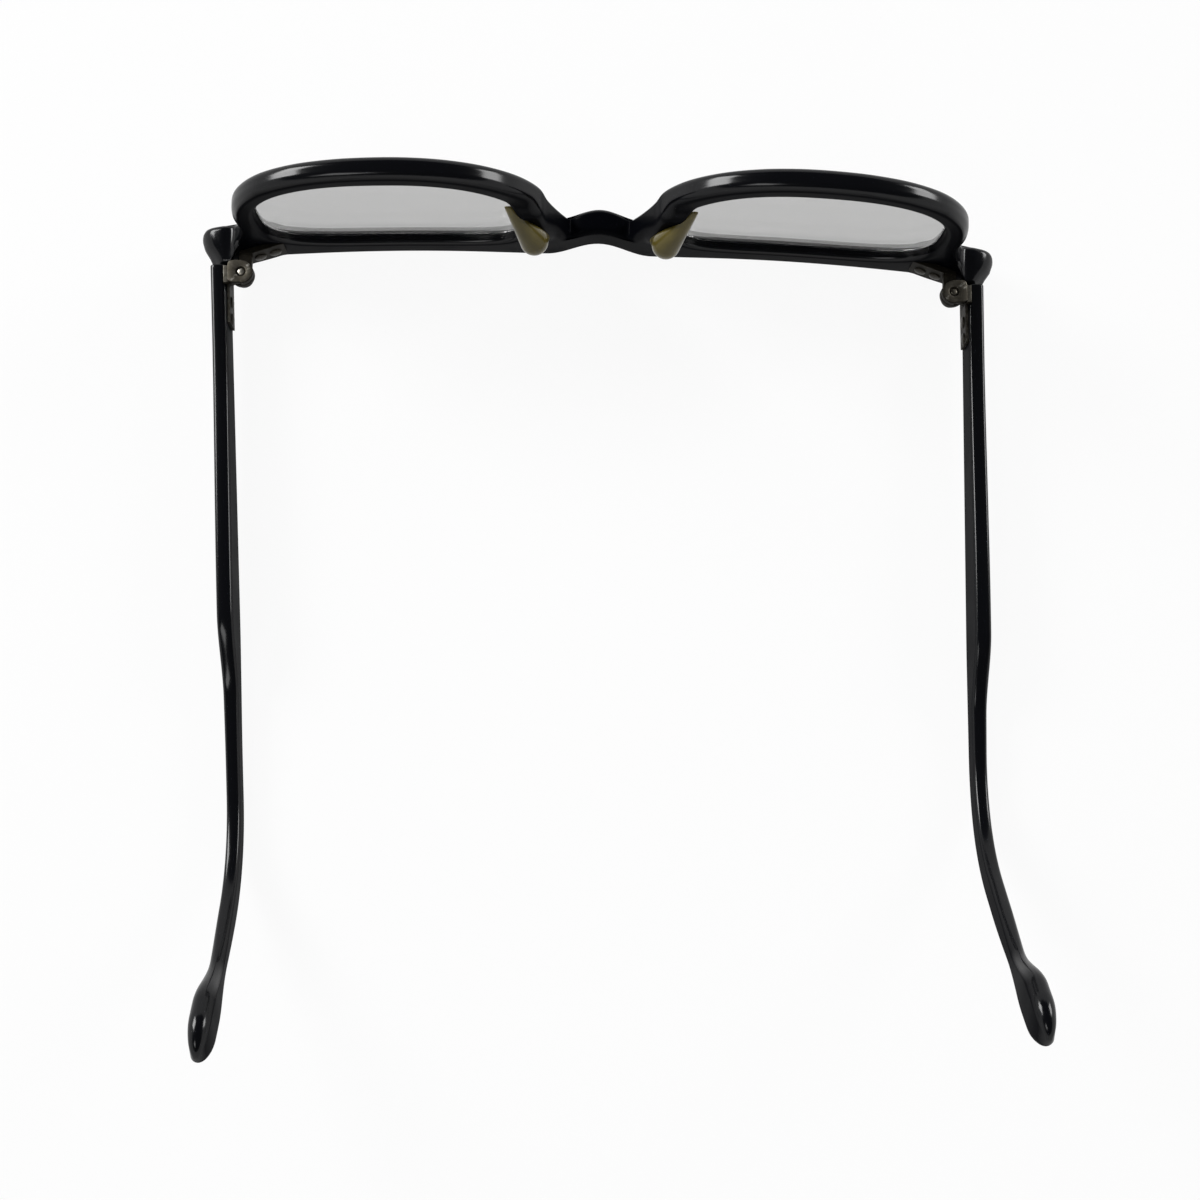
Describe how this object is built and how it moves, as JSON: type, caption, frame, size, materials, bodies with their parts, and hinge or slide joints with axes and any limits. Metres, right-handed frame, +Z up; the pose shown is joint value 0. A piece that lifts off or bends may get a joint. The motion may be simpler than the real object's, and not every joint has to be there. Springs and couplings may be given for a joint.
{
  "type": "eyeglass frame",
  "caption": "Horn-rimmed eyeglasses in black plastic with clear lenses, moulded nose pads and riveted barrel hinges; stored upside down with both temples open.",
  "frame": {"origin": "middle of the bounding box at its foot, on the surface the glasses lie on", "axes": "+Y from the temple tips toward the front of the glasses, +Z up from the brow edge they lie on to the lower rims, +X to the left of the wearer"},
  "size_m": [0.1432, 0.1506, 0.0439],
  "materials": {
    "black_plastic": "glossy, lightly worn",
    "lens": "clear, polished",
    "pad_plastic": "cloudy yellowed, semi-gloss",
    "hinge_metal": "worn nickel",
    "screw_metal": "polished",
    "core_metal": "drawn wire"
  },
  "bodies": {
    "front": {"front": "black_plastic", "right_lens": "lens", "left_lens": "lens", "right_nose_pad": "pad_plastic", "left_nose_pad": "pad_plastic", "right_front_hinge": "hinge_metal", "left_front_hinge": "hinge_metal", "right_front_rivets": "hinge_metal", "left_front_rivets": "hinge_metal"},
    "right_temple": {"right_temple": "black_plastic", "right_temple_core": "core_metal", "right_temple_hinge": "hinge_metal", "right_temple_rivets": "hinge_metal", "right_hinge_screw": "screw_metal"},
    "left_temple": {"left_temple": "black_plastic", "left_temple_core": "core_metal", "left_temple_hinge": "hinge_metal", "left_temple_rivets": "hinge_metal", "left_hinge_screw": "screw_metal"}
  },
  "joints": [
    {"name": "right_temple_fold", "type": "hinge", "parent": "front", "child": "right_temple", "pos_m": [-0.0637, 0.06044, 0.0076], "axis": [0, 0, 1], "range_deg": [0, 88]},
    {"name": "left_temple_fold", "type": "hinge", "parent": "front", "child": "left_temple", "pos_m": [0.0637, 0.06044, 0.0076], "axis": [0, 0, -1], "range_deg": [0, 84]}
  ]
}
